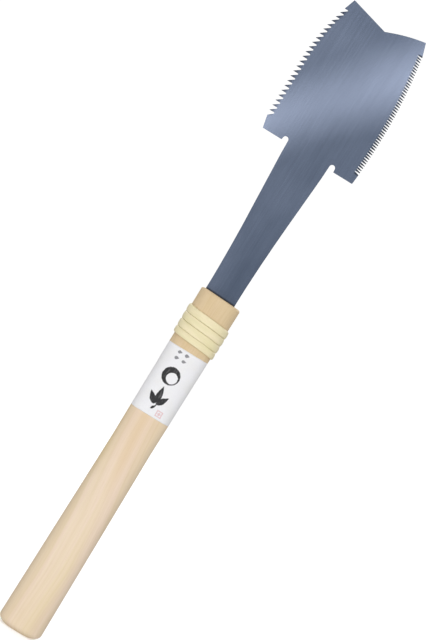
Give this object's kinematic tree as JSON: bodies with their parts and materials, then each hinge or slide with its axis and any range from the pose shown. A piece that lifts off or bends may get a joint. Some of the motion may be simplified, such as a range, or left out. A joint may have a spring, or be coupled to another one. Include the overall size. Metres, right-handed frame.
{
  "type": "double-edged pull saw",
  "caption": "Short two-sided pull saw with a notched nose, coarse and fine toothed edges, a long neck and an oval wooden handle bound with cane.",
  "frame": {"origin": "centre of the flat at the handle's butt", "axes": "+Z along the handle to the nose of the blade, +Y out of the back of the flat blade, coarse teeth towards -X and fine teeth towards +X"},
  "size_m": [0.0751, 0.0261, 0.48],
  "materials": {
    "saw_steel": "satin, finely ground along the blade",
    "handle_wood": "bare, sanded",
    "rattan_cane": "natural cane skin, slightly glossy",
    "label_paper": "matt"
  },
  "bodies": {
    "root": {"saw_blade": "saw_steel", "handle_front_half": "handle_wood", "handle_back_half": "handle_wood", "rattan_binding": "rattan_cane", "paper_label": "label_paper"}
  },
  "joints": []
}
